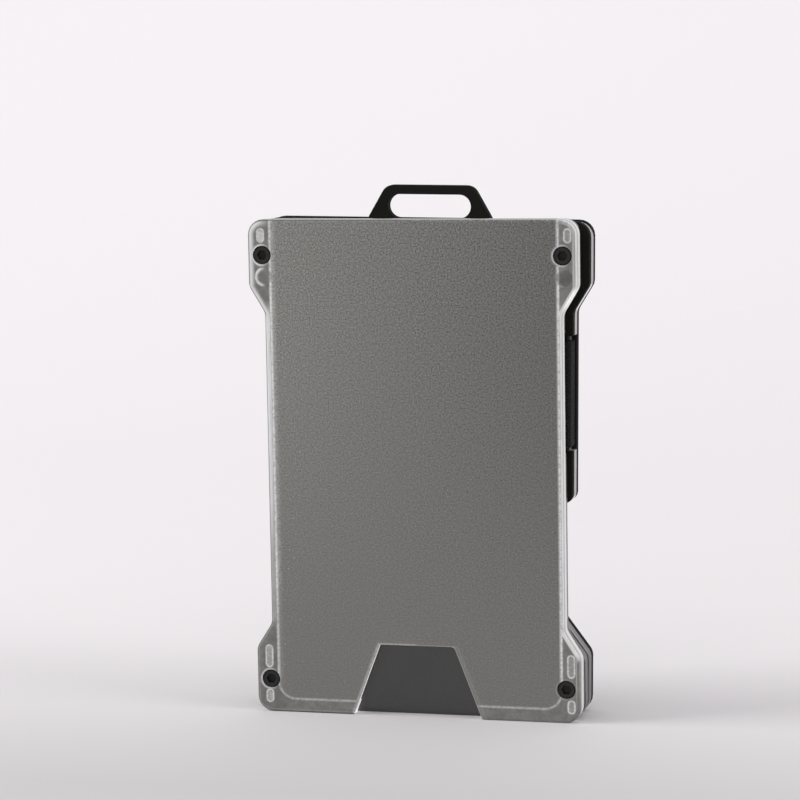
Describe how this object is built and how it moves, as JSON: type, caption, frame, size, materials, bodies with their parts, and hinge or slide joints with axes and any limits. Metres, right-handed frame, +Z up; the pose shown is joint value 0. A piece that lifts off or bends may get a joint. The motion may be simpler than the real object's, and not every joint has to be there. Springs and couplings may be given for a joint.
{
  "type": "card wallet",
  "caption": "Slim two-plate card wallet with a frosted front plate, thumb notch, sprung elastic strap, side finger cut-outs and a lanyard loop.",
  "frame": {"origin": "foot of the chassis plate, at the middle of its width and of its thickness", "axes": "+X across the width, to the right seen from the front; +Y from the frosted front to the back; +Z up along the height"},
  "size_m": [0.0633, 0.012, 0.0987],
  "materials": {
    "frosted_plastic": "frosted, translucent",
    "charcoal_aluminium": "bead-blasted, charcoal anodised",
    "black_steel": "black oxide",
    "grey_aluminium": "grey anodised",
    "plain_steel": "plain",
    "black_rubber": "matt",
    "elastic_webbing": "woven elastic",
    "black_aluminium": "black anodised",
    "bare_aluminium": "satin, machined"
  },
  "bodies": {
    "front_half": {"front_plate": "frosted_plastic", "chassis_plate": "charcoal_aluminium", "upper_screws": "black_steel", "lower_screws": "black_steel", "card_stop": "grey_aluminium", "strap_clamp": "black_steel", "clamp_screws": "plain_steel", "bumpers": "black_rubber", "strap": "elastic_webbing"},
    "rear_half": {"tray_plate": "black_aluminium", "rear_frame": "bare_aluminium", "back_plate": "black_aluminium", "long_rear_screws": "black_steel", "short_rear_screws": "black_steel"}
  },
  "joints": [
    {"name": "rear_slide", "type": "slide", "parent": "front_half", "child": "rear_half", "axis": [0, 1, 0], "range_m": [0, 0.009], "stiffness_N_per_m": 400, "springref_m": -0.01, "deforming": ["strap"]}
  ]
}
